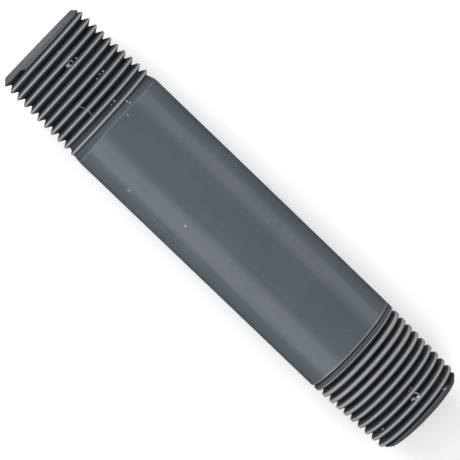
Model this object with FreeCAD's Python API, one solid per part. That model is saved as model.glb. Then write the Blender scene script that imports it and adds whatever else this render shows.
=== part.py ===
import FreeCAD, Part

import math
import os

# Pipe nipple in grey plastic pipe, 1/2 inch nominal, with a 1/2-14 taper pipe thread on each end.
# Millimetres. The pipe's axis is X and the origin is on it, midway between the two end faces.
# The nipple is one piece of plastic. It is written as three regions that meet face to face:
# the plain barrel and the two machined ends.

# ---- pipe ----------------------------------------------------------------------------------------
MM_PER_INCH = 25.4
PIPE_OD = 21.336
PIPE_WALL = 3.734
NIPPLE_LENGTH = 101.6

# ---- thread form, the same on both ends ----------------------------------------------------------
THREADS_PER_INCH = 14
TAPER_ON_DIAMETER = 1 / 16
FLANK_ANGLE = 60.0
CREST_FLAT = 0.34
ROOT_FLAT = 0.14

# ---- the two machined ends -----------------------------------------------------------------------
# THREAD_LENGTH runs from the end face to where the last groove fades out, on the side facing +Y.
# FIRST_CREST is how far in from the end face the first whole crest stands, on the same side.
# VANISH_TURNS is the least number of turns over which the last groove rises out of the pipe.
# SKIM_DEPTH is how far below the pipe's skin the crests stop following the taper, and
# SKIM_PAST_GROOVE how far past the last groove they have risen to the skin again.
# SHANK is the stretch that belongs to each end, between its last groove and the barrel.
LEFT_THREAD_LENGTH = 20.5
LEFT_FIRST_CREST = 1.85
LEFT_VANISH_TURNS = 1.5
RIGHT_THREAD_LENGTH = 19.9
RIGHT_FIRST_CREST = 2.34
RIGHT_VANISH_TURNS = 1.0
SKIM_DEPTH = 0.04
SKIM_PAST_GROOVE = 0.3
SHANK = 2.0
CHAMFER_ANGLE = 45.0
CHAMFER_BELOW_ROOT = 0.05

# ---- how far the groove tool stands past the plastic that it cuts --------------------------------
TOOL_PAST_CREST = 0.05
TOOL_PAST_PIPE = 1.0

# ---- worked out from the values above ------------------------------------------------------------
PITCH = MM_PER_INCH / THREADS_PER_INCH
PIPE_RADIUS = PIPE_OD / 2
BORE_RADIUS = PIPE_RADIUS - PIPE_WALL
TAPER_PER_SIDE = TAPER_ON_DIAMETER / 2
FLANK_SLOPE = math.tan(math.radians(FLANK_ANGLE / 2))
THREAD_DEPTH = (PITCH - CREST_FLAT - ROOT_FLAT) / (2 * FLANK_SLOPE)

# Pitch diameter at the end face, by the taper pipe thread's own rule for a pipe of this size.
PITCH_DIAMETER = PIPE_OD - (0.05 * PIPE_OD / MM_PER_INCH + 1.1) * PITCH
ROOT_BELOW_PITCH = (PITCH / 2 - ROOT_FLAT) / (2 * FLANK_SLOPE)

X_AXIS = FreeCAD.Vector(1, 0, 0)
Y_AXIS = FreeCAD.Vector(0, 1, 0)
Z_AXIS = FreeCAD.Vector(0, 0, 1)
ORIGIN = FreeCAD.Vector(0, 0, 0)


def root_radius(depth_in):
    """Radius of the thread's root cone, depth_in from the end face."""
    return PITCH_DIAMETER / 2 - ROOT_BELOW_PITCH + depth_in * TAPER_PER_SIDE


def crest_radius(depth_in):
    """Radius of the thread's crest cone, depth_in from the end face."""
    return root_radius(depth_in) + THREAD_DEPTH


def outline(points):
    """Closed wire through (radius, depth) points, in the plane of the X and Z axes."""
    corners = [FreeCAD.Vector(radius, 0, depth) for radius, depth in points]
    return Part.makePolygon(corners + corners[:1])


def turned(points):
    """Solid of revolution about Z from (radius, depth) points."""
    return Part.Face(outline(points)).revolve(ORIGIN, Z_AXIS, 360)


def end_blank(thread_length, full_depth):
    """Pipe end before threading: chamfered at its face (depth 0), then tapered up to the pipe's skin."""
    face_radius = root_radius(0) - CHAMFER_BELOW_ROOT
    chamfer_slope = math.tan(math.radians(CHAMFER_ANGLE))
    chamfer_depth = (crest_radius(0) - face_radius) / (chamfer_slope - TAPER_PER_SIDE)
    skim_start = min(full_depth, (PIPE_RADIUS - SKIM_DEPTH - crest_radius(0)) / TAPER_PER_SIDE)
    return turned([
        (BORE_RADIUS, 0),
        (face_radius, 0),
        (crest_radius(chamfer_depth), chamfer_depth),
        (crest_radius(skim_start), skim_start),
        (PIPE_RADIUS, thread_length + SKIM_PAST_GROOVE),
        (PIPE_RADIUS, thread_length + SHANK),
        (BORE_RADIUS, thread_length + SHANK),
    ])


def groove(start, turns, slope):
    """Helical groove tool whose root starts on the root cone, at this depth, and rises by this slope."""
    root = root_radius(start)
    reach = THREAD_DEPTH + TOOL_PAST_CREST
    half_root = ROOT_FLAT / 2
    half_mouth = half_root + reach * FLANK_SLOPE
    path = Part.makeLongHelix(PITCH, turns * PITCH, root, math.degrees(math.atan(slope)))
    path.translate(Z_AXIS * start)
    section = outline([
        (root, start - half_root),
        (root, start + half_root),
        (root + reach, start + half_mouth),
        (root + reach, start - half_mouth),
    ])
    return Part.Wire(path.Edges).makePipeShell([section], True, True)


def threaded_end(thread_length, first_crest, vanish_turns):
    """Machined end with its face at depth 0 and its thread running up Z from there."""
    first_groove = first_crest + PITCH / 2
    turns_before = math.ceil((first_groove + PITCH) / PITCH)
    start = first_groove - turns_before * PITCH
    full_turns = math.floor((thread_length - start) / PITCH - vanish_turns)
    full = groove(start, full_turns, TAPER_PER_SIDE)
    fade_start = start + full_turns * PITCH
    fade_length = thread_length - fade_start
    fade_slope = (PIPE_RADIUS - root_radius(fade_start)) / fade_length
    fading = groove(fade_start, (fade_length + TOOL_PAST_PIPE) / PITCH, fade_slope)
    return end_blank(thread_length, fade_start).cut(full).cut(fading)


def plain_barrel(length):
    """Plain pipe with one end face at depth 0."""
    return turned([(BORE_RADIUS, 0), (PIPE_RADIUS, 0), (PIPE_RADIUS, length), (BORE_RADIUS, length)])


def along_x(shape, x, facing_left):
    """Lay a shape built up Z along X, its depth 0 at x, running to +X from a face that faces left."""
    shape.rotate(ORIGIN, Y_AXIS, 90)
    shape.rotate(ORIGIN, X_AXIS, 90)
    if not facing_left:
        shape.rotate(ORIGIN, Y_AXIS, 180)
    shape.translate(X_AXIS * x)
    return shape


def main():
    """Build each region and write its STEP file."""
    left_face = -NIPPLE_LENGTH / 2
    right_face = NIPPLE_LENGTH / 2
    barrel_start = left_face + LEFT_THREAD_LENGTH + SHANK
    barrel_end = right_face - RIGHT_THREAD_LENGTH - SHANK
    left = threaded_end(LEFT_THREAD_LENGTH, LEFT_FIRST_CREST, LEFT_VANISH_TURNS)
    right = threaded_end(RIGHT_THREAD_LENGTH, RIGHT_FIRST_CREST, RIGHT_VANISH_TURNS)
    regions = {
        "left_threaded_end": along_x(left, left_face, True),
        "barrel": along_x(plain_barrel(barrel_end - barrel_start), barrel_start, True),
        "right_threaded_end": along_x(right, right_face, False),
    }
    os.makedirs("parts", exist_ok=True)
    for name, shape in regions.items():
        shape.exportStep("parts/" + name + ".step")
        print(name, "solids", len(shape.Solids), "valid", shape.isValid(), "mm3", round(shape.Volume, 2))


main()
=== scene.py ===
import logging
import math
from dataclasses import dataclass, field, replace
from enum import Enum

import bmesh
import bpy
from mathutils import Matrix, Vector, noise


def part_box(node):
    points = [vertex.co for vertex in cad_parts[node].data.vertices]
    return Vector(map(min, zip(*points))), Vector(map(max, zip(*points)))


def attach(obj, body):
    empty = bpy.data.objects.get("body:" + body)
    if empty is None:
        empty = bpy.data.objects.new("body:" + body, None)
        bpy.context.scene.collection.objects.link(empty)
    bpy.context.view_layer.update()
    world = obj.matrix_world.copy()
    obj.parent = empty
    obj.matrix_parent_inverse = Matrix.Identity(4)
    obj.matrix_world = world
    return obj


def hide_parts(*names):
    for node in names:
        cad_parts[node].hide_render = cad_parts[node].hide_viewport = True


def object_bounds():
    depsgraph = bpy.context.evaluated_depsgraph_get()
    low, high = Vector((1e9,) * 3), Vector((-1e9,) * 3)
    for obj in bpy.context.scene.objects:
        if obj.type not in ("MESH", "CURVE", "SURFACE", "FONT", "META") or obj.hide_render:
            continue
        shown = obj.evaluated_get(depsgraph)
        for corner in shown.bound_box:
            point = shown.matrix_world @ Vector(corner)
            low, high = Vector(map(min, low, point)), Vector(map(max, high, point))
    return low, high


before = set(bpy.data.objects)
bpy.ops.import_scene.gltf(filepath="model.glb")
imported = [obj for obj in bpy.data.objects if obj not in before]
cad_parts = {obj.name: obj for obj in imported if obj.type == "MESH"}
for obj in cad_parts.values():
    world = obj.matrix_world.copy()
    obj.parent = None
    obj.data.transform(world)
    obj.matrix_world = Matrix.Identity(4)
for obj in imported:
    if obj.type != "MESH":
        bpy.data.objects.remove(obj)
CAD_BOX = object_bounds()

# Pipe nipple in dark grey plastic: a plain extruded barrel between two machined, threaded ends.
# The pipe's axis is X. Sizes are in millimetres and are turned into metres as a mesh is placed,
# apart from the studio's and the materials', which are in metres.
# Each end is modelled in its own frame: X runs in from the end face and angles start at +Y.

MM = 0.001
MM_PER_INCH = 25.4
THREADS_PER_INCH = 14
FLANK_ANGLE = 60.0
SEGMENTS = 200
SHARP_ANGLE = math.radians(32)
ORIGIN = Vector((0, 0, 0))
X_AXIS = Vector((1, 0, 0))
Y_AXIS = Vector((0, 1, 0))
Z_AXIS = Vector((0, 0, 1))
ROOT = "root"

Colour = tuple[float, float, float]
Stops = tuple[tuple[float, float], ...]
Edges = list[bmesh.types.BMEdge]
Socket = bpy.types.NodeSocket
Number = Socket | float
Paint = Socket | Colour

log = logging.getLogger("pipe_nipple")


class RunOut(Enum):
    """How a thread ends at the plain pipe."""

    FLOOR_RISES = "the groove's floor climbs to the pipe and the last ridge sinks into it"
    GROOVE_NARROWS = "the groove grows shallow and narrow, so the last ridges are wide"


class Surface(Enum):
    """The finishes of one threaded end, in the order of its material slots."""

    CUT = 0
    EXTRUDED = 1
    FACED = 2


def smooth_step(low: float, high: float, value: float) -> float:
    """Ease from 0 at low to 1 at high.

    Args:
        low: Where the ramp starts.
        high: Where the ramp ends.
        value: Where to read it.

    Returns:
        The height of the ramp, from 0 to 1.
    """
    share = min(max((value - low) / (high - low), 0.0), 1.0)
    return share * share * (3 - 2 * share)


def between(stops: Stops, value: float) -> float:
    """Read a graph that is straight between its stops and level outside them.

    Args:
        stops: Places and heights, in rising order of place.
        value: The place to read.

    Returns:
        The height there.
    """
    if value <= stops[0][0]:
        return stops[0][1]
    for (start, low), (end, high) in zip(stops, stops[1:]):
        if value <= end:
            return low + (high - low) * (value - start) / (end - start)
    return stops[-1][1]


def mark_sharp_edges(mesh: bmesh.types.BMesh) -> None:
    """Shade smoothly except over edges that turn by more than the sharp angle.

    Args:
        mesh: The mesh to shade.
    """
    for face in mesh.faces:
        face.smooth = True
    for edge in mesh.edges:
        edge.smooth = len(edge.link_faces) == 2 and edge.calc_face_angle() < SHARP_ANGLE


def as_piece(mesh: bmesh.types.BMesh, name: str, materials: list[bpy.types.Material]) -> bpy.types.Object:
    """Turn a finished bmesh, in metres, into a piece that rides on the part's one body.

    Args:
        mesh: The mesh, which is freed.
        name: The piece's name.
        materials: Its material slots, in order.

    Returns:
        The new object.
    """
    data = bpy.data.meshes.new(name)
    mesh.to_mesh(data)
    mesh.free()
    for material in materials:
        data.materials.append(material)
    piece = bpy.data.objects.new(name, data)
    bpy.context.scene.collection.objects.link(piece)
    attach(piece, ROOT)
    log.info("%s: %d faces", name, len(data.polygons))
    return piece


# ---- shading -------------------------------------------------------------------------------------


class NodeSheet:
    """A node tree with short calls for adding and joining its nodes."""

    def __init__(self, tree: bpy.types.NodeTree) -> None:
        """Take the tree to fill."""
        self.tree = tree

    def add(self, kind: str, inputs: dict | None = None, **settings: object) -> bpy.types.Node:
        """Add one node.

        Args:
            kind: The node's type name.
            inputs: Values or output sockets, by the name or number of the input.
            **settings: The node's own properties.

        Returns:
            The new node.
        """
        node = self.tree.nodes.new(kind)
        for name, value in settings.items():
            setattr(node, name, value)
        for name, value in (inputs or {}).items():
            if isinstance(value, Socket):
                self.join(value, node.inputs[name])
            else:
                node.inputs[name].default_value = value
        return node

    def join(self, start: Socket, end: Socket) -> None:
        """Link an output socket to an input socket."""
        self.tree.links.new(start, end)

    def math(self, operation: str, first: Number, second: Number = 0.0) -> Socket:
        """Work on one or two numbers and return the result's socket."""
        return self.add("ShaderNodeMath", {0: first, 1: second}, operation=operation).outputs[0]

    def vector(self, operation: str, inputs: dict) -> Socket:
        """Work on vectors and return the result's socket."""
        return self.add("ShaderNodeVectorMath", inputs, operation=operation).outputs[0]

    def ramp(self, value: Number, low: float, high: float, start: float = 0.0, end: float = 1.0) -> Socket:
        """Ease a number from one value to another.

        Args:
            value: The number to read.
            low: Where the ramp starts.
            high: Where the ramp ends.
            start: The result at low.
            end: The result at high.

        Returns:
            The result's socket.
        """
        inputs = {"Value": value, "From Min": low, "From Max": high, "To Min": start, "To Max": end}
        node = self.add("ShaderNodeMapRange", inputs, interpolation_type="SMOOTHSTEP")
        return node.outputs["Result"]

    def mix(self, share: Number, first: Paint, second: Paint) -> Socket:
        """Mix two colours.

        Args:
            share: How much of the second colour shows, from 0 to 1.
            first: The colour at 0.
            second: The colour at 1.

        Returns:
            The mixed colour's socket.
        """
        node = self.add("ShaderNodeMix", data_type="RGBA")
        colours = [socket for socket in node.inputs if socket.type == "RGBA"]
        for socket, value in ((node.inputs[0], share), (colours[0], first), (colours[1], second)):
            if isinstance(value, Socket):
                self.join(value, socket)
            elif isinstance(value, tuple):
                socket.default_value = (*value, 1.0)
            else:
                socket.default_value = value
        return next(socket for socket in node.outputs if socket.type == "RGBA")

    def place(self) -> Socket:
        """Place on the piece, in metres, in the part's own frame."""
        return self.add("ShaderNodeTexCoord").outputs["Object"]

    def mark(self, name: str) -> Socket:
        """Read a mark that the piece's mesh holds, which is 0 on a mesh without it."""
        return self.add("ShaderNodeAttribute", attribute_name=name, attribute_type="GEOMETRY").outputs["Fac"]

    def effect(self, group: bpy.types.NodeTree, **inputs: float) -> Socket:
        """Place a shared effect with its own values and return its mask's socket."""
        return self.add("ShaderNodeGroup", inputs, node_tree=group).outputs["Mask"]

    def bump(self, height: Socket, strength: float, depth: float) -> Socket:
        """Turn a height into a normal, with the depth in metres."""
        inputs = {"Height": height, "Strength": strength, "Distance": depth}
        return self.add("ShaderNodeBump", inputs).outputs["Normal"]


def new_group(name: str, inputs: dict[str, float]) -> tuple[NodeSheet, bpy.types.Node, bpy.types.Node]:
    """Start a node group with number inputs and one output named Mask.

    Args:
        name: The group's name.
        inputs: The inputs and their default values.

    Returns:
        The group's sheet, its input node and its output node.
    """
    tree = bpy.data.node_groups.new(name, "ShaderNodeTree")
    for label, value in inputs.items():
        socket = tree.interface.new_socket(label, in_out="INPUT", socket_type="NodeSocketFloat")
        socket.default_value = value
    tree.interface.new_socket("Mask", in_out="OUTPUT", socket_type="NodeSocketFloat")
    sheet = NodeSheet(tree)
    return sheet, sheet.add("NodeGroupInput"), sheet.add("NodeGroupOutput")


@dataclass
class Effects:
    """Shared effects, each a node group that is built once, with scales in cells per metre."""

    cloud_range: tuple[float, float] = (0.3, 0.7)
    cloud_detail: float = 4.0
    line_range: tuple[float, float] = (0.35, 0.65)
    line_detail: float = 3.0
    wobble_scale: float = 2500.0
    wobble: float = 0.0004

    def __post_init__(self) -> None:
        """Build the groups."""
        self.mottle = self.build_mottle()
        self.lengthwise = self.build_lengthwise()
        self.turned = self.build_turned()
        self.specks = self.build_specks()

    def build_mottle(self) -> bpy.types.NodeTree:
        """Build a soft cloudy variation, as in unevenly mixed plastic.

        Returns:
            The group.
        """
        sheet, given, out = new_group("mottle", {"Scale": 100.0})
        inputs = {"Vector": sheet.place(), "Scale": given.outputs["Scale"], "Detail": self.cloud_detail}
        cloud = sheet.add("ShaderNodeTexNoise", inputs).outputs["Fac"]
        sheet.join(sheet.ramp(cloud, *self.cloud_range), out.inputs["Mask"])
        return sheet.tree

    def build_lengthwise(self) -> bpy.types.NodeTree:
        """Build fine lines that run along the pipe, as a die leaves them.

        Returns:
            The group.
        """
        sheet, given, out = new_group("lengthwise_lines", {"Scale": 1500.0, "Along": 0.02})
        stretch = sheet.add("ShaderNodeCombineXYZ", {"X": given.outputs["Along"], "Y": 1.0, "Z": 1.0})
        drawn = sheet.vector("MULTIPLY", {0: sheet.place(), 1: stretch.outputs[0]})
        inputs = {"Vector": drawn, "Scale": given.outputs["Scale"], "Detail": self.line_detail}
        lines = sheet.add("ShaderNodeTexNoise", inputs).outputs["Fac"]
        sheet.join(sheet.ramp(lines, *self.line_range), out.inputs["Mask"])
        return sheet.tree

    def build_turned(self) -> bpy.types.NodeTree:
        """Build fine lines that run round the pipe, as a cutter leaves them.

        Returns:
            The group.
        """
        sheet, given, out = new_group("turned_lines", {"Scale": 5000.0, "Around": 120.0})
        place = sheet.place()
        x, y, z = sheet.add("ShaderNodeSeparateXYZ", {0: place}).outputs
        squares = sheet.math("ADD", sheet.math("MULTIPLY", y, y), sheet.math("MULTIPLY", z, z))
        across = sheet.add("ShaderNodeCombineXYZ", {"X": x, "Y": sheet.math("SQRT", squares)})
        fine = sheet.vector("SCALE", {0: across.outputs[0], "Scale": given.outputs["Scale"]})
        slow = sheet.vector("SCALE", {0: place, "Scale": given.outputs["Around"]})
        inputs = {"Vector": sheet.vector("ADD", {0: fine, 1: slow}), "Scale": 1.0, "Detail": self.line_detail}
        lines = sheet.add("ShaderNodeTexNoise", inputs).outputs["Fac"]
        sheet.join(sheet.ramp(lines, *self.line_range), out.inputs["Mask"])
        return sheet.tree

    def build_specks(self) -> bpy.types.NodeTree:
        """Build sparse small specks of dust and nicks.

        Returns:
            The group.
        """
        sheet, given, out = new_group("specks", {"Scale": 400.0, "Size": 0.11, "Kept": 0.1})
        place = sheet.place()
        wobble = sheet.add("ShaderNodeTexNoise", {"Vector": place, "Scale": self.wobble_scale})
        bent = sheet.vector("SCALE", {0: wobble.outputs["Color"], "Scale": self.wobble})
        moved = sheet.vector("ADD", {0: place, 1: bent})
        cells = sheet.add("ShaderNodeTexVoronoi", {"Vector": moved, "Scale": given.outputs["Scale"]})
        chance = sheet.add("ShaderNodeSeparateColor", {0: cells.outputs["Color"]})
        kept = sheet.math("LESS_THAN", chance.outputs[0], given.outputs["Kept"])
        reach = sheet.math("MULTIPLY", chance.outputs[1], given.outputs["Size"])
        inside = sheet.math("LESS_THAN", cells.outputs["Distance"], reach)
        sheet.join(sheet.math("MULTIPLY", kept, inside), out.inputs["Mask"])
        return sheet.tree


def start_material(name: str, constants: dict) -> tuple[bpy.types.Material, NodeSheet, bpy.types.Node]:
    """Start a material on the Principled shader.

    Args:
        name: The material's name.
        constants: Values that are the same all over, by the name of the shader's socket.

    Returns:
        The material, its sheet and its shader.
    """
    material = bpy.data.materials.new(name)
    material.use_nodes = True
    sheet = NodeSheet(material.node_tree)
    shader = material.node_tree.nodes["Principled BSDF"]
    for socket, value in constants.items():
        shader.inputs[socket].default_value = value
    return material, sheet, shader


@dataclass(frozen=True)
class ExtrudedPlastic:
    """Satin dark blue-grey skin, as the extruder leaves it: faint lines along the pipe and light specks."""

    name: str = "extruded_plastic"
    plain: Colour = (0.070, 0.083, 0.095)
    clouded: Colour = (0.064, 0.078, 0.088)
    scuffed: Colour = (0.22, 0.24, 0.25)
    # painted highlight: pale colour along the edge where the cut meets this skin
    edge: Colour = (0.15, 0.165, 0.17)
    cloud_scale: float = 90.0
    speck_share: float = 0.4
    specular: float = 0.5
    roughness: float = 0.24
    line_roughness: float = 0.06
    line_strength: float = 0.05
    line_depth: float = 0.00005

    def material(self, effects: Effects) -> bpy.types.Material:
        """Build the material.

        Args:
            effects: The shared effects.

        Returns:
            The material.
        """
        material, sheet, shader = start_material(self.name, {"Specular IOR Level": self.specular})
        cloud = sheet.effect(effects.mottle, Scale=self.cloud_scale)
        lines = sheet.effect(effects.lengthwise)
        specks = sheet.effect(effects.specks, Kept=self.speck_share)
        colour = sheet.mix(cloud, self.plain, self.clouded)
        colour = sheet.mix(specks, colour, self.scuffed)
        # painted highlight along the edge where the cut meets the skin
        colour = sheet.mix(sheet.mark("edge_highlight"), colour, self.edge)
        sheet.join(colour, shader.inputs["Base Color"])
        rough = sheet.ramp(lines, 0.0, 1.0, self.roughness, self.roughness + self.line_roughness)
        sheet.join(rough, shader.inputs["Roughness"])
        sheet.join(sheet.bump(lines, self.line_strength, self.line_depth), shader.inputs["Normal"])
        return material


@dataclass(frozen=True)
class CutPlastic:
    """Matte plastic that a die has cut: pale on the crests and streaked in the groove, whose near-black floor
    is painted shade.

    Heights on the thread run from 0 at the root to 1 at the crest.
    """

    name: str = "cut_plastic"
    crest: Colour = (0.215, 0.228, 0.205)
    flank: Colour = (0.054, 0.059, 0.069)
    # painted shade: the near-black colour deep in the groove stands in for the shade there
    groove: Colour = (0.003, 0.008, 0.019)
    streak: Colour = (0.048, 0.059, 0.072)
    shallow: Colour = (0.054, 0.063, 0.074)
    # painted highlight: pale colour along the edge where the cut meets the skin
    edge: Colour = (0.15, 0.165, 0.17)
    groove_shade_up_to: float = 0.1
    flank_from: float = 0.75
    flank_up_to: float = 0.93
    crest_from: float = 0.985
    streak_from: float = 0.45
    streak_share: float = 0.55
    specular: float = 0.12
    roughness: float = 0.6
    streak_strength: float = 0.4
    streak_depth: float = 0.00004

    def material(self, effects: Effects) -> bpy.types.Material:
        """Build the material.

        Args:
            effects: The shared effects.

        Returns:
            The material.
        """
        constants = {"Specular IOR Level": self.specular, "Roughness": self.roughness}
        material, sheet, shader = start_material(self.name, constants)
        height = sheet.mark("height")
        streaks = sheet.effect(effects.turned)
        streaked = sheet.ramp(streaks, self.streak_from, 1.0, 0.0, self.streak_share)
        # painted shade: near black at the root, easing to the flank's colour up the groove
        colour = sheet.mix(sheet.ramp(height, self.groove_shade_up_to, self.flank_from), self.groove, self.flank)
        colour = sheet.mix(streaked, colour, self.streak)
        colour = sheet.mix(sheet.mark("plain"), colour, self.shallow)
        colour = sheet.mix(sheet.ramp(height, self.flank_up_to, self.crest_from), colour, self.crest)
        # painted highlight along the edge where the cut meets the skin
        colour = sheet.mix(sheet.mark("edge_highlight"), colour, self.edge)
        sheet.join(colour, shader.inputs["Base Color"])
        sheet.join(sheet.bump(streaks, self.streak_strength, self.streak_depth), shader.inputs["Normal"])
        return material


@dataclass(frozen=True)
class FacedPlastic:
    """Matte mid-grey plastic of the end faces, chamfers and burrs, with fine turning lines."""

    name: str = "faced_plastic"
    plain: Colour = (0.054, 0.060, 0.069)
    line: Colour = (0.080, 0.087, 0.096)
    specular: float = 0.3
    roughness: float = 0.55
    line_strength: float = 0.3
    line_depth: float = 0.00004

    def material(self, effects: Effects) -> bpy.types.Material:
        """Build the material.

        Args:
            effects: The shared effects.

        Returns:
            The material.
        """
        constants = {"Specular IOR Level": self.specular, "Roughness": self.roughness}
        material, sheet, shader = start_material(self.name, constants)
        lines = sheet.effect(effects.turned)
        sheet.join(sheet.mix(lines, self.plain, self.line), shader.inputs["Base Color"])
        sheet.join(sheet.bump(lines, self.line_strength, self.line_depth), shader.inputs["Normal"])
        return material


@dataclass(frozen=True)
class SwarfPlastic:
    """Pale cream plastic, whitened where the die tore it off."""

    name: str = "swarf_plastic"
    pale: Colour = (0.42, 0.43, 0.38)
    dull: Colour = (0.20, 0.21, 0.18)
    cloud_scale: float = 2500.0
    specular: float = 0.2
    roughness: float = 0.6

    def material(self, effects: Effects) -> bpy.types.Material:
        """Build the material.

        Args:
            effects: The shared effects.

        Returns:
            The material.
        """
        constants = {"Specular IOR Level": self.specular, "Roughness": self.roughness}
        material, sheet, shader = start_material(self.name, constants)
        cloud = sheet.effect(effects.mottle, Scale=self.cloud_scale)
        sheet.join(sheet.mix(cloud, self.dull, self.pale), shader.inputs["Base Color"])
        return material


# ---- the pipe ------------------------------------------------------------------------------------


@dataclass
class Pipe:
    """Sizes of the pipe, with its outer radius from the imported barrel."""

    wall: float = 3.734

    def __post_init__(self) -> None:
        """Read the outer radius once."""
        low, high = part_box("barrel")
        self.radius = (high.z - low.z) / 2 / MM
        self.bore = self.radius - self.wall


@dataclass(frozen=True)
class ThreadForm:
    """Taper pipe thread with 60 degree flanks and flattened crests and roots.

    The slope is a flank's run along the pipe over its rise, and the taper is the radius gained per
    millimetre in. The pitch radius is the one at the end face.
    """

    pitch: float = MM_PER_INCH / THREADS_PER_INCH
    crest_flat: float = 0.34
    root_flat: float = 0.14
    slope: float = math.tan(math.radians(FLANK_ANGLE / 2))
    taper: float = 1 / 32
    pitch_radius: float = 9.632
    chamfer_below_root: float = 0.05

    @property
    def depth(self) -> float:
        """Height of a crest over the root."""
        return (self.pitch - self.crest_flat - self.root_flat) / (2 * self.slope)

    @property
    def half_mouth(self) -> float:
        """Half the width of the groove at its mouth."""
        return (self.pitch - self.crest_flat) / 2

    def root(self, inward: float) -> float:
        """Radius of the root cone, this far in from the end face."""
        return self.pitch_radius - (self.pitch / 2 - self.root_flat) / (2 * self.slope) + inward * self.taper

    def chamfer(self, inward: float) -> float:
        """Radius of the chamfer's cone, this far in from the end face."""
        return self.root(0) - self.chamfer_below_root + inward


@dataclass(frozen=True)
class RisingFloor:
    """Run-out whose floor climbs to the pipe's skin over a steep and a gentle cone, both a little askew.

    The ridge sinks between two places counted in turns from the first crest. The cut is clean where the
    ridge stands less than clean_height over the floor, and painted pale along the edge where it meets the
    skin, a painted highlight of that edge.
    """

    steep_slope: float = 0.353
    steep_end: float = 20.35
    steep_lean_y: float = 0.15
    gentle_slope: float = 0.13
    gentle_end: float = 20.75
    gentle_lean_y: float = -0.4
    gentle_lean_z: float = -0.3
    gentle_oval: float = 0.15
    ridge_sinks_from: float = 9.55
    ridge_sinks_to: float = 9.95
    clean_height: float = 0.08
    clean_margin: float = 0.02
    # painted highlight: strength, line and fade of the pale line along the edge where the cut meets the skin
    edge_strength: float = 0.35
    edge_line: float = 0.05
    edge_fade: float = 0.24

    def ends(self, angle: float) -> tuple[float, float]:
        """Find where the two cones meet the pipe's skin.

        Args:
            angle: Angle from +Y in the end's own frame.

        Returns:
            The steep cone's distance in from the end face, and the gentle cone's.
        """
        steep = self.steep_end + self.steep_lean_y * math.cos(angle)
        lean = self.gentle_lean_y * math.cos(angle) + self.gentle_lean_z * math.sin(angle)
        return steep, self.gentle_end + lean + self.gentle_oval * math.cos(2 * angle)

    def sunk(self, inward: float, angle: float) -> float:
        """Depth of the floor under the pipe's skin, or below 0 past the place where they meet."""
        steep, gentle = self.ends(angle)
        return max((steep - inward) * self.steep_slope, (gentle - inward) * self.gentle_slope)


@dataclass(frozen=True)
class NarrowingGroove:
    """Run-out whose groove grows narrow and shallow, with places counted in turns from the first crest.

    Widths and depths are shares of the full groove's. The pale mark is moved past the crest's own middle
    towards the barrel: painted light, for the light that falls on the side of each ridge facing the barrel.
    """

    widths: Stops = (
        (2.5, 1.0),
        (4.25, 0.93),
        (6.25, 0.85),
        (8.25, 0.87),
        (8.75, 0.65),
        (9.25, 0.3),
        (10.0, 0.0),
    )
    depths: Stops = ((7.5, 1.0), (8.0, 0.97), (8.5, 0.9), (9.0, 0.62), (9.5, 0.42), (10.0, 0.0))
    # painted light: how far the pale mark is moved towards the barrel, for the light on each ridge's barrel
    # side
    painted_light_shift: float = 0.14
    last_turn: float = 9.0
    end: float = 10.0
    clean_from: float = 8.75
    clean_to: float = 9.15
    # painted highlight: where the pale line along the edge of the cut starts and stops, and its width and
    # fade
    edge_from: float = 8.8
    edge_to: float = 9.2
    edge_stops_from: float = 9.9
    edge_line: float = 0.1
    edge_fade: float = 0.3


@dataclass(frozen=True)
class Burr:
    """Plastic that the die rolled over the first groove, from the chamfer almost to the first ridge.

    It lies between the angles start and end, in degrees, and reaches in to clear_of_ridge short of the
    ridge of this number, which is 0 for the first whole crest.
    """

    ridge: int
    start: float
    end: float
    radius: float = 9.8
    clear_of_ridge: float = 0.65
    ragged_end: float = 4.0
    ragged_detail: float = 3.0
    lump: float = 0.05
    lump_detail_along: float = 2.0
    lump_detail_around: float = 9.0


@dataclass(frozen=True)
class ThreadPoint:
    """One point of the thread: distance in, radius, and the marks that its finish reads.

    The height runs from 0 at the root to 1 at the crest, plain is 1 where the cut is shallow and clean,
    and the last mark is 1 along the edge where the cut meets the pipe's skin, where a highlight is painted.
    """

    inward: float
    radius: float
    height: float
    plain: float
    edge_highlight: float


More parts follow.
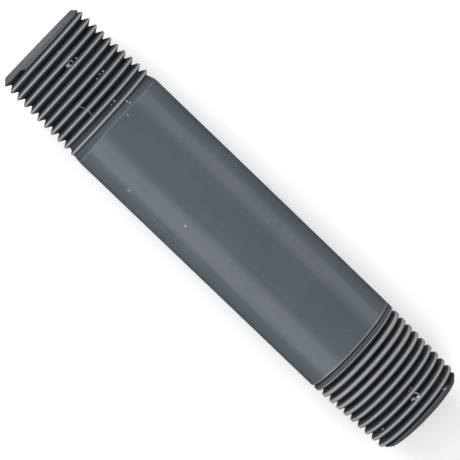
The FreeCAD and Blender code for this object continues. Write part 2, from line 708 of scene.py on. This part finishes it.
@dataclass
class ThreadedEnd:
    """One machined end: face, chamfer, thread, run-out and the plain shank next to the barrel."""

    name: str
    node: str
    first_crest: float
    faces_right: bool
    run_out: RunOut
    burr: Burr
    seed: float
    form: ThreadForm = field(default_factory=ThreadForm)
    rising: RisingFloor = field(default_factory=RisingFloor)
    narrowing: NarrowingGroove = field(default_factory=NarrowingGroove)
    pipe: Pipe = field(default_factory=Pipe)
    flank_lines: tuple[float, ...] = (0.0, 0.16, 0.32, 0.48, 0.64, 0.8, 0.93, 1.0)
    crest_rounding: float = 0.035
    crest_line: float = 0.3
    wear_depth: float = 0.025
    wear_above: float = 0.9
    wear_up_to: float = 19.0
    wear_detail_along: float = 1.5
    wear_detail_around: float = 6.0
    face_reach: float = 0.001
    chamfer_reach: float = 0.03
    burr_reach: float = 0.06
    bore_reach: float = 0.1
    merge_profile: float = 0.001
    merge_strip: float = 0.002
    cut_margin: float = 0.0001

    def __post_init__(self) -> None:
        """Read the end's place and length once."""
        self.low, self.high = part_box(self.node)
        self.length = (self.high.x - self.low.x) / MM

    def placing(self) -> Matrix:
        """Place the end's own frame, in millimetres, in the part's frame, in metres.

        Returns:
            The matrix.
        """
        scale = Matrix.Scale(MM, 4)
        if self.faces_right:
            return Matrix.Translation(X_AXIS * self.high.x) @ Matrix.Rotation(math.pi, 4, "Y") @ scale
        return Matrix.Translation(X_AXIS * self.low.x) @ scale

    def offsets(self) -> list[float]:
        """Choose the mesh lines over one pitch, from one ridge's middle to the next one's.

        Returns:
            Their offsets from the groove's middle.
        """
        form = self.form
        edge = form.half_mouth
        half_root = form.root_flat / 2
        flank = [half_root + (edge - half_root) * share for share in self.flank_lines]
        side = flank + [edge + self.crest_rounding, edge + form.crest_flat * self.crest_line, form.pitch / 2]
        return [-offset for offset in reversed(side)] + side[:-1]

    def thread_strip(self) -> bmesh.types.BMesh:
        """Sweep one side of the thread round the pipe once, each step a little further in.

        Returns:
            A mesh of even radius whose lines follow the thread.
        """
        mesh = bmesh.new()
        pitch = self.form.pitch
        # the strip starts and ends outside the end, so that cutting it leaves two clean rims
        turns_before = math.ceil(self.first_crest / pitch) + 2
        turns = math.ceil(self.length / pitch) + turns_before + 1
        start = self.first_crest - (turns_before - 0.5) * pitch
        places = [start + offset for offset in self.offsets()]
        line = [mesh.verts.new((place, self.pipe.radius, 0)) for place in places]
        edges = [mesh.edges.new(pair) for pair in zip(line, line[1:])]
        last = mesh.verts.new((places[0] + pitch, self.pipe.radius, 0))
        edges.append(mesh.edges.new((line[-1], last)))
        one_pitch = line + [last] + edges
        for turn in range(1, turns):
            copied = bmesh.ops.duplicate(mesh, geom=one_pitch)["geom"]
            verts = [part for part in copied if isinstance(part, bmesh.types.BMVert)]
            bmesh.ops.translate(mesh, verts=verts, vec=X_AXIS * pitch * turn)
        bmesh.ops.remove_doubles(mesh, verts=mesh.verts, dist=self.merge_profile)
        bmesh.ops.spin(
            mesh,
            geom=mesh.verts[:] + mesh.edges[:],
            cent=ORIGIN,
            axis=X_AXIS,
            dvec=X_AXIS * pitch / SEGMENTS,
            angle=math.tau,
            steps=SEGMENTS,
            use_merge=False,
            use_duplicate=False,
        )
        bmesh.ops.remove_doubles(mesh, verts=mesh.verts, dist=self.merge_strip)
        return mesh

    def groove_place(self, inward: float, angle: float) -> tuple[float, float]:
        """Find the groove that a point lies in.

        Args:
            inward: Distance in from the end face.
            angle: Angle from +Y in the end's own frame.

        Returns:
            The turns from the first crest to the groove's middle, and the point's offset from that middle.
        """
        turns = (inward - self.first_crest) / self.form.pitch
        middle = math.floor(turns - angle / math.tau) + 0.5 + angle / math.tau
        return middle, (turns - middle) * self.form.pitch

    def wrapped(self, offset: float) -> float:
        """Bring an offset back to within half a pitch of a groove's middle."""
        half = self.form.pitch / 2
        return (offset + half) % self.form.pitch - half

    def crest_radius(self, inward: float) -> float:
        """Radius of the crests, which follow the crest cone up to the pipe's skin."""
        return min(self.form.root(inward) + self.form.depth, self.pipe.radius)

    def height_of(self, radius: float, inward: float) -> float:
        """Height of a radius in the thread, from 0 at the root to 1 at the crest."""
        root = self.form.root(inward)
        return (radius - root) / (self.crest_radius(inward) - root)

    def form_radius(self, inward: float, offset: float, width: float, depth: float) -> float:
        """Radius of the thread's own form.

        Args:
            inward: Distance in from the end face.
            offset: Offset from the groove's middle.
            width: Width of the groove, as a share of the full width.
            depth: Depth of the groove, as a share of the full depth.

        Returns:
            The radius, with the crest cut to the crest cone and the pipe.
        """
        form = self.form
        top = self.crest_radius(inward)
        mouth = form.half_mouth * width
        half_root = form.root_flat / 2 * width
        if abs(offset) < mouth:
            sunk = (top - form.root(inward)) * depth
            return top - sunk * min((mouth - abs(offset)) / (mouth - half_root), 1.0)
        rounded = 1 - smooth_step(0, self.crest_rounding, abs(offset) - mouth)
        return top - self.crest_rounding / 2 * rounded * depth

    def narrowing_point(self, inward: float, angle: float) -> ThreadPoint:
        """Shape one point of a thread whose groove narrows towards the barrel.

        Args:
            inward: Distance in from the end face.
            angle: Angle from +Y in the end's own frame.

        Returns:
            The shaped point, before the chamfer and the burr.
        """
        out, half_pitch, full_mouth = self.narrowing, self.form.pitch / 2, self.form.half_mouth
        turns, offset = self.groove_place(inward, angle)
        width, depth = between(out.widths, turns), between(out.depths, turns)
        mouth = full_mouth * width
        moved = offset * width
        if abs(offset) > full_mouth:
            spread = (half_pitch - mouth) / (half_pitch - full_mouth)
            moved = math.copysign(mouth + (abs(offset) - full_mouth) * spread, offset)
        inward += moved - offset
        radius = self.form_radius(inward, moved, width, depth)
        # painted light: the height mark is read past the crest's middle, so the side of each ridge facing the
        # barrel is painted paler
        light_shifted_radius = self.form_radius(inward, self.wrapped(moved - out.painted_light_shift), width, depth)
        plain = smooth_step(out.clean_from, out.clean_to, turns)
        # painted highlight: a pale line along the edge where the cut meets the pipe's skin
        edge_highlight = 0.0
        if offset > 0:
            edge_highlight = smooth_step(out.edge_from, out.edge_to, turns)
            edge_highlight *= 1 - smooth_step(out.edge_line, out.edge_fade, abs(moved - mouth))
            edge_highlight *= 1 - smooth_step(out.edge_stops_from, out.end, turns)
        return ThreadPoint(inward, radius, self.height_of(light_shifted_radius, inward) * (1 - plain), plain, edge_highlight)

    def rising_point(self, inward: float, angle: float) -> ThreadPoint:
        """Shape one point of a thread whose floor climbs to the pipe.

        Args:
            inward: Distance in from the end face.
            angle: Angle from +Y in the end's own frame.

        Returns:
            The shaped point, before the chamfer and the burr.
        """
        out = self.rising
        turns, offset = self.groove_place(inward, angle)
        floor = min(self.floor(inward, angle), self.pipe.radius)
        sinking = smooth_step(out.ridge_sinks_from, out.ridge_sinks_to, turns + math.copysign(0.5, offset))
        ridge = max(self.form_radius(inward, offset, 1.0, 1.0) - floor, 0.0) * (1 - sinking)
        plain = smooth_step(-out.clean_height, out.clean_margin, -ridge)
        # painted highlight: a pale line along the edge where the cut meets the pipe's skin
        from_edge = abs(inward - max(out.ends(angle)))
        edge_highlight = out.edge_strength * (1 - smooth_step(out.edge_line, out.edge_fade, from_edge))
        radius = floor + ridge
        return ThreadPoint(inward, radius, self.height_of(radius, inward) * (1 - plain), plain, edge_highlight)

    def shape_point(self, inward: float, angle: float) -> ThreadPoint:
        """Shape one point of the strip.

        Args:
            inward: Distance in from the end face.
            angle: Angle from +Y in the end's own frame.

        Returns:
            The shaped point.
        """
        narrows = self.run_out is RunOut.GROOVE_NARROWS
        point = self.narrowing_point(inward, angle) if narrows else self.rising_point(inward, angle)
        rolled = max(point.radius, self.rolled_radius(point.inward, angle))
        return replace(point, radius=min(rolled, self.form.chamfer(point.inward)))

    def floor(self, inward: float, angle: float) -> float:
        """Radius of the floor that climbs out of the groove, which passes the pipe's past their meeting."""
        return self.pipe.radius - self.rising.sunk(inward, angle)

    def rolled_radius(self, inward: float, angle: float) -> float:
        """Radius of the burr.

        Args:
            inward: Distance in from the end face.
            angle: Angle from +Y in the end's own frame.

        Returns:
            The radius, or 0 where there is no burr.
        """
        burr = self.burr
        turn = (math.degrees(angle) - burr.start) % 360
        ragged = burr.ragged_end * noise.noise(Vector((inward * burr.ragged_detail, 0, self.seed)))
        if turn > burr.end - burr.start + ragged:
            return 0.0
        first_ridge = self.first_crest + self.form.pitch * (burr.ridge + ((turn + burr.start) / 360))
        if inward > first_ridge - burr.clear_of_ridge:
            return 0.0
        around = Vector((0, math.cos(angle), math.sin(angle))) * burr.lump_detail_around
        return burr.radius + burr.lump * noise.noise(X_AXIS * inward * burr.lump_detail_along + around)

    def wear(self, point: ThreadPoint, angle: float) -> float:
        """Find how deep a crest's wear goes.

        Args:
            point: The shaped point.
            angle: Its angle.

        Returns:
            The depth of the wear, or 0 off the crests.
        """
        if point.height <= self.wear_above or point.inward >= self.wear_up_to:
            return 0.0
        around = Vector((0, math.cos(angle), math.sin(angle))) * self.wear_detail_around
        place = X_AXIS * point.inward * self.wear_detail_along + around + Z_AXIS * self.seed
        return self.wear_depth * abs(noise.noise(place))

    def build(self, materials: list[bpy.types.Material]) -> bpy.types.Object:
        """Model the end.

        Args:
            materials: The finishes, in the order of Surface.

        Returns:
            The piece.
        """
        mesh = self.thread_strip()
        marks = {name: mesh.verts.layers.float.new(name) for name in ("height", "plain", "edge_highlight")}
        for vert in mesh.verts:
            angle = math.atan2(vert.co.z, vert.co.y)
            point = self.shape_point(vert.co.x, angle)
            radius = point.radius - self.wear(point, angle)
            vert.co = (point.inward, radius * math.cos(angle), radius * math.sin(angle))
            for name, layer in marks.items():
                vert[layer] = getattr(point, name)
        for place, outwards in ((0.0, -1), (self.length, 1)):
            bmesh.ops.bisect_plane(
                mesh,
                geom=mesh.verts[:] + mesh.edges[:] + mesh.faces[:],
                dist=self.cut_margin,
                plane_co=X_AXIS * place,
                plane_no=X_AXIS * outwards,
                clear_outer=True,
            )
        self.close(mesh)
        bmesh.ops.recalc_face_normals(mesh, faces=mesh.faces)
        self.choose_finishes(mesh)
        mark_sharp_edges(mesh)
        bmesh.ops.transform(mesh, matrix=self.placing(), verts=mesh.verts)
        return as_piece(mesh, self.name, materials)

    def close(self, mesh: bmesh.types.BMesh) -> None:
        """Add the face ring, the bore and the inner ring, so that the end is a closed solid.

        Args:
            mesh: The open thread.
        """
        rims = [edge for edge in mesh.edges if edge.is_boundary]
        at_face = [edge for edge in rims if edge.verts[0].co.x < self.length / 2]
        at_barrel = [edge for edge in rims if edge.verts[0].co.x > self.length / 2]
        ring = self.extrude_rim(mesh, at_face, 0.0)
        inner = self.extrude_rim(mesh, ring, self.length)
        bmesh.ops.bridge_loops(mesh, edges=inner + at_barrel)

    def extrude_rim(self, mesh: bmesh.types.BMesh, rim: Edges, inward: float) -> Edges:
        """Extrude a rim to the bore's radius at a distance in from the face.

        Args:
            mesh: The mesh.
            rim: The rim's edges.
            inward: Where the new rim stands.

        Returns:
            The new rim's edges.
        """
        made = bmesh.ops.extrude_edge_only(mesh, edges=rim)["geom"]
        verts = {part for part in made if isinstance(part, bmesh.types.BMVert)}
        for vert in verts:
            across = Vector((0, vert.co.y, vert.co.z)).normalized() * self.pipe.bore
            vert.co = (inward, across.y, across.z)
        return [part for part in made if isinstance(part, bmesh.types.BMEdge) and set(part.verts) <= verts]

    def is_skin(self, inward: float, angle: float) -> bool:
        """Tell whether a point lies past the thread, on the pipe's own skin.

        Args:
            inward: Distance in from the end face.
            angle: Angle from +Y in the end's own frame.

        Returns:
            True on the skin.
        """
        if self.run_out is RunOut.FLOOR_RISES:
            return self.floor(inward, angle) >= self.pipe.radius
        turns, offset = self.groove_place(inward, angle)
        mouth = self.form.half_mouth * between(self.narrowing.widths, turns)
        return turns >= self.narrowing.end or (turns >= self.narrowing.last_turn and offset > mouth)

    def finish_of(self, middle: Vector) -> Surface:
        """Choose one face's finish.

        Args:
            middle: The face's middle, in the end's own frame.

        Returns:
            The finish.
        """
        radius = math.hypot(middle.y, middle.z)
        angle = math.atan2(middle.z, middle.y)
        rolled = self.rolled_radius(middle.x, angle)
        on_face = middle.x < self.face_reach
        on_chamfer = radius > self.form.chamfer(middle.x) - self.chamfer_reach
        on_burr = rolled > 0 and radius > rolled - self.burr_reach
        if on_face or on_chamfer or on_burr:
            return Surface.FACED
        if radius < self.pipe.bore + self.bore_reach or self.is_skin(middle.x, angle):
            return Surface.EXTRUDED
        return Surface.CUT

    def choose_finishes(self, mesh: bmesh.types.BMesh) -> None:
        """Give each face of the closed end its finish."""
        for face in mesh.faces:
            face.material_index = self.finish_of(face.calc_center_median()).value

    def dress(self, piece: bpy.types.Object) -> None:
        """Hide the imported node that the piece stands for."""
        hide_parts(self.node)


@dataclass
class Barrel:
    """The plain extruded pipe between the ends."""

    name: str = "barrel_tube"
    node: str = "barrel"
    rings: int = 24
    merge: float = 0.0005
    pipe: Pipe = field(default_factory=Pipe)

    def build(self, material: bpy.types.Material) -> bpy.types.Object:
        """Model the tube by turning its wall round the axis.

        Args:
            material: The extruded finish.

        Returns:
            The piece.
        """
        low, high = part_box(self.node)
        length = (high.x - low.x) / MM
        mesh = bmesh.new()
        bore, radius = self.pipe.bore, self.pipe.radius
        places = ((0, bore, 0), (0, radius, 0), (length, radius, 0), (length, bore, 0))
        corners = [mesh.verts.new(place) for place in places]
        wall = [mesh.edges.new((corners[i - 1], corners[i])) for i in (1, 2, 3, 0)]
        bmesh.ops.subdivide_edges(mesh, edges=[wall[1], wall[3]], cuts=self.rings)
        bmesh.ops.spin(
            mesh,
            geom=mesh.verts[:] + mesh.edges[:],
            cent=ORIGIN,
            axis=X_AXIS,
            angle=math.tau,
            steps=SEGMENTS,
            use_merge=True,
        )
        bmesh.ops.remove_doubles(mesh, verts=mesh.verts, dist=self.merge)
        bmesh.ops.recalc_face_normals(mesh, faces=mesh.faces)
        mark_sharp_edges(mesh)
        placing = Matrix.Translation(X_AXIS * low.x) @ Matrix.Scale(MM, 4)
        bmesh.ops.transform(mesh, matrix=placing, verts=mesh.verts)
        return as_piece(mesh, self.name, [material])

    def dress(self, piece: bpy.types.Object) -> None:
        """Hide the imported node that the piece stands for."""
        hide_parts(self.node)


# ---- swarf ---------------------------------------------------------------------------------------


@dataclass(frozen=True)
class Chip:
    """One bit of swarf that the die left on a thread, placed by distance in, angle in degrees and radius."""

    inward: float
    angle: float
    radius: float
    size: float
    turn: float = 0.0
    curled: bool = False


@dataclass
class Swarf:
    """Loose crumbs, curls and a fibre that lie on one end's thread.

    A crumb's and a curl's numbers are shares of the chip's size. The ribbon's thickness and the fibre's
    radius are millimetres.
    """

    name: str
    end: ThreadedEnd
    chips: tuple[Chip, ...]
    seed: int
    fibre: Chip | None = None
    crumb_width: float = 0.7
    crumb_height: float = 0.45
    lump: float = 0.7
    lump_detail: float = 2.2
    curl_bend: float = 0.3
    curl_flare: float = 1.6
    curl_rise: float = 0.16
    curl_drift: tuple[float, float] = (1.0, 0.4)
    curl_drift_steps: int = 36
    curl_axis: tuple[float, float, float] = (0.15, 0.1, 1.0)
    curl_angle: float = math.radians(330)
    curl_steps: int = 24
    crease: float = 0.12
    crease_detail: float = 1.6
    ribbon: float = 0.07
    fibre_radius: float = 0.028
    fibre_sides: int = 6
    fibre_angle: float = math.radians(75)
    fibre_steps: int = 20

    def crumb(self, bit: bmesh.types.BMesh, chip: Chip) -> None:
        """Make a lumpy flattened crumb.

        Args:
            bit: The empty mesh to fill.
            chip: The crumb's size.
        """
        bmesh.ops.create_icosphere(bit, subdivisions=2, radius=chip.size / 2)
        lie = Vector((self.seed, chip.angle, 0))
        for vert in bit.verts:
            lump = 1 + self.lump * noise.noise(vert.co * self.lump_detail / chip.size + lie)
            vert.co = Vector((vert.co.x, vert.co.y * self.crumb_width, vert.co.z * self.crumb_height)) * lump

    def curl(self, bit: bmesh.types.BMesh, chip: Chip) -> None:
        """Make a thin ribbon wound into an open curl.

        Args:
            bit: The empty mesh to fill.
            chip: The curl's size.
        """
        bend = chip.size * self.curl_bend
        near = bit.verts.new((bend, 0, 0))
        far = bit.verts.new((bend * self.curl_flare, 0, chip.size * self.curl_rise))
        bmesh.ops.spin(
            bit,
            geom=[near, far, bit.edges.new((near, far))],
            cent=ORIGIN,
            axis=Vector(self.curl_axis).normalized(),
            dvec=Vector((*self.curl_drift, 0)) * chip.size / self.curl_drift_steps,
            angle=self.curl_angle,
            steps=self.curl_steps,
            use_merge=False,
        )
        for vert in bit.verts:
            crease = noise.noise_vector(vert.co * self.crease_detail + X_AXIS * self.seed)
            vert.co += chip.size * self.crease * crease
        bmesh.ops.recalc_face_normals(bit, faces=bit.faces)
        bmesh.ops.solidify(bit, geom=bit.faces[:], thickness=self.ribbon)

    def strand(self, bit: bmesh.types.BMesh, chip: Chip) -> None:
        """Make a fine bowed fibre.

        Args:
            bit: The empty mesh to fill.
            chip: The fibre, whose size is its bow's radius.
        """
        bow = X_AXIS * chip.size
        bmesh.ops.create_circle(bit, segments=self.fibre_sides, radius=self.fibre_radius)
        bmesh.ops.rotate(bit, verts=bit.verts, cent=ORIGIN, matrix=Matrix.Rotation(math.pi / 2, 3, "X"))
        bmesh.ops.translate(bit, verts=bit.verts, vec=bow)
        bmesh.ops.spin(
            bit,
            geom=bit.verts[:] + bit.edges[:],
            cent=ORIGIN,
            axis=Z_AXIS,
            angle=self.fibre_angle,
            steps=self.fibre_steps,
            use_merge=False,
        )
        rims = [edge for edge in bit.edges if edge.is_boundary]
        bmesh.ops.holes_fill(bit, edges=rims, sides=self.fibre_sides)
        bmesh.ops.translate(bit, verts=bit.verts, vec=-bow)

    def build(self, material: bpy.types.Material) -> bpy.types.Object:
        """Model every bit and lay it on the thread.

        Args:
            material: The swarf's finish.

        Returns:
            The piece.
        """
        mesh = bmesh.new()
        bits = [(chip, self.curl if chip.curled else self.crumb) for chip in self.chips]
        if self.fibre:
            bits.append((self.fibre, self.strand))
        for chip, shape in bits:
            bit = bmesh.new()
            shape(bit, chip)
            angle = math.radians(chip.angle)
            spot = Vector((chip.inward, chip.radius * math.cos(angle), chip.radius * math.sin(angle)))
            turned = Matrix.Rotation(math.radians(chip.turn), 4, "Z")
            placing = Matrix.Translation(spot) @ Matrix.Rotation(angle - math.pi / 2, 4, "X") @ turned
            bmesh.ops.transform(bit, matrix=placing, verts=bit.verts)
            held = bpy.data.meshes.new("bit")
            bit.to_mesh(held)
            bit.free()
            mesh.from_mesh(held)
            bpy.data.meshes.remove(held)
        bmesh.ops.recalc_face_normals(mesh, faces=mesh.faces)
        mark_sharp_edges(mesh)
        bmesh.ops.transform(mesh, matrix=self.end.placing(), verts=mesh.verts)
        return as_piece(mesh, self.name, [material])

    def dress(self, piece: bpy.types.Object) -> None:
        """Take no step for the swarf."""


# Where the bits lie, listed one by one. Angles are from +Y in the end's own frame.
LEFT_CHIPS = (
    Chip(6.8, 79, 9.6, 0.8, turn=70, curled=True),
    Chip(6.95, 71, 9.55, 0.5, turn=20),
    Chip(6.85, 84, 9.65, 0.85, turn=25),
    Chip(3.8, 80.6, 10.05, 0.42),
    Chip(12.2, 60.5, 9.75, 0.55, turn=80),
    Chip(12.1, 66, 9.7, 0.35, turn=60),
    Chip(12.3, 72, 9.7, 0.3, turn=90),
    Chip(17.5, 77, 9.9, 0.5, turn=85),
    Chip(17.6, 82, 9.85, 0.3),
    Chip(19.2, 68.5, 10.42, 0.4),
    Chip(19.85, 67.3, 10.47, 0.36),
)
LEFT_FIBRE = Chip(17.3, 106.5, 10.5, 3.2, turn=55)
RIGHT_CHIPS = (
    Chip(4.45, 278, 9.85, 0.9, turn=20, curled=True),
    Chip(4.1, 279.5, 10.0, 0.9, turn=140),
    Chip(4.7, 274, 9.9, 0.6, turn=130),
    Chip(3.8, 274.5, 9.85, 0.45, turn=40),
    Chip(6.1, 278, 9.45, 0.6, turn=75),
    Chip(6.3, 282, 9.5, 0.35),
    Chip(10.5, 284, 9.55, 0.5, turn=80),
    Chip(10.6, 279, 9.55, 0.35, turn=60),
    Chip(1.3, 309.6, 9.75, 0.7, turn=60),
    Chip(4.3, 221.2, 9.7, 0.45, turn=50),
    Chip(19.3, 262, 10.45, 0.3),
)


# ---- the studio ----------------------------------------------------------------------------------


@dataclass(frozen=True)
class Panel:
    """One soft light panel that faces the pipe."""

    name: str
    place: tuple[float, float, float]
    width: float
    height: float
    radiance: float
    nearly_along: float = 0.9

    def build(self) -> None:
        """Add the light."""
        light = bpy.data.lights.new(self.name, "AREA")
        light.shape = "RECTANGLE"
        light.size = self.width
        light.size_y = self.height
        light.energy = self.radiance * math.pi * self.width * self.height
        lamp = bpy.data.objects.new(self.name, light)
        lamp.location = self.place
        back = Vector(self.place).normalized()
        level = X_AXIS if abs(back.x) < self.nearly_along else Y_AXIS
        up = back.cross(level).normalized()
        right = up.cross(back).normalized()
        lamp.rotation_euler = Matrix((right, up, back)).transposed().to_euler()
        bpy.context.scene.collection.objects.link(lamp)


@dataclass
class Studio:
    """Pale floor, soft panels and the camera."""

    floor_width: float = 6.0
    floor_colour: Colour = (0.93, 0.93, 0.93)
    grain_share: float = 0.985
    grain_scale: float = 30.0
    floor_roughness: float = 0.9
    glow: float = 0.05
    air: float = 0.72
    panels: tuple[Panel, ...] = (
        Panel("near_panel", (0.0, -0.60, 0.265), 1.4, 0.62, 1.5),
        Panel("far_panel", (0.0, 0.62, 0.16), 1.4, 0.44, 1.0),
        Panel("end_panel", (-0.62, 0.03, 0.42), 0.5, 0.5, 7.5),
    )
    camera_over: float = -0.054
    camera_height: float = 0.600
    aim_x: float = -0.00011
    aim_y: float = -0.000158
    lens: float = 247.9
    sensor: float = 36.0
    nearest: float = 0.05
    farthest: float = 20.0
    slant: float = math.radians(43.84)

    def floor_material(self) -> bpy.types.Material:
        """Make the floor's pale paper, whose faint glow keeps it white beside the pipe.

        Returns:
            The material.
        """
        constants = {
            "Roughness": self.floor_roughness,
            "Specular IOR Level": 0.0,
            "Emission Strength": self.glow,
        }
        material, sheet, shader = start_material("floor_paper", constants)
        grain = sheet.add("ShaderNodeTexNoise", {"Scale": self.grain_scale}).outputs["Fac"]
        grained = tuple(self.grain_share * channel for channel in self.floor_colour)
        sheet.join(sheet.mix(grain, self.floor_colour, grained), shader.inputs["Base Color"])
        return material

    def build_floor(self) -> None:
        """Lay a pale floor under the pipe."""
        mesh = bmesh.new()
        bmesh.ops.create_grid(mesh, x_segments=1, y_segments=1, size=self.floor_width / 2)
        bmesh.ops.translate(mesh, verts=mesh.verts, vec=Z_AXIS * CAD_BOX[0].z)
        data = bpy.data.meshes.new("floor")
        mesh.to_mesh(data)
        mesh.free()
        data.materials.append(self.floor_material())
        floor = bpy.data.objects.new("floor", data)
        floor.visible_glossy = False
        bpy.context.scene.collection.objects.link(floor)

    def build_lights(self) -> None:
        """Set an even white surround and the panels that draw the pipe's highlights."""
        world = bpy.data.worlds.new("studio_air")
        world.use_nodes = True
        backdrop = world.node_tree.nodes["Background"]
        backdrop.inputs["Color"].default_value = (1.0, 1.0, 1.0, 1.0)
        backdrop.inputs["Strength"].default_value = self.air
        world.cycles_visibility.glossy = False
        bpy.context.scene.world = world
        for panel in self.panels:
            panel.build()

    def build_camera(self) -> None:
        """Stand the camera high over the left end, turned so that the pipe lies along the slant."""
        data = bpy.data.cameras.new("camera")
        data.sensor_width = self.sensor
        data.lens = self.lens
        data.clip_start, data.clip_end = self.nearest, self.farthest
        camera = bpy.data.objects.new("camera", data)
        place = Vector((self.camera_over, self.aim_y, self.camera_height))
        ahead = (Vector((self.aim_x, self.aim_y, 0)) - place).normalized()
        along = (X_AXIS - ahead * X_AXIS.dot(ahead)).normalized()
        across = along.cross(ahead)
        right = along * math.cos(self.slant) + across * math.sin(self.slant)
        up = across * math.cos(self.slant) - along * math.sin(self.slant)
        camera.matrix_world = Matrix.Translation(place) @ Matrix((right, up, -ahead)).transposed().to_4x4()
        bpy.context.scene.collection.objects.link(camera)
        bpy.context.scene.camera = camera
        bpy.context.scene.view_settings.view_transform = "Standard"


def main() -> None:
    """Build the pipe nipple and its studio."""
    logging.basicConfig(level=logging.INFO, format="%(message)s")
    effects = Effects()
    extruded = ExtrudedPlastic().material(effects)
    cut = CutPlastic().material(effects)
    faced = FacedPlastic().material(effects)

    left = ThreadedEnd(
        name="left_thread",
        node="left_threaded_end",
        first_crest=1.85,
        faces_right=False,
        run_out=RunOut.FLOOR_RISES,
        burr=Burr(ridge=0, start=-40, end=124),
        seed=3.0,
    )
    right = ThreadedEnd(
        name="right_thread",
        node="right_threaded_end",
        first_crest=2.34,
        faces_right=True,
        run_out=RunOut.GROOVE_NARROWS,
        burr=Burr(ridge=-1, start=190, end=318),
        seed=11.0,
    )
    for end in (left, right):
        end.dress(end.build([cut, extruded, faced]))
    barrel = Barrel()
    barrel.dress(barrel.build(extruded))

    swarf = SwarfPlastic().material(effects)
    left_swarf = Swarf(name="left_swarf", end=left, chips=LEFT_CHIPS, seed=5, fibre=LEFT_FIBRE)
    right_swarf = Swarf(name="right_swarf", end=right, chips=RIGHT_CHIPS, seed=9)
    for loose in (left_swarf, right_swarf):
        loose.dress(loose.build(swarf))

    studio = Studio()
    studio.build_floor()
    studio.build_lights()
    studio.build_camera()


if __name__ == "__main__":
    main()
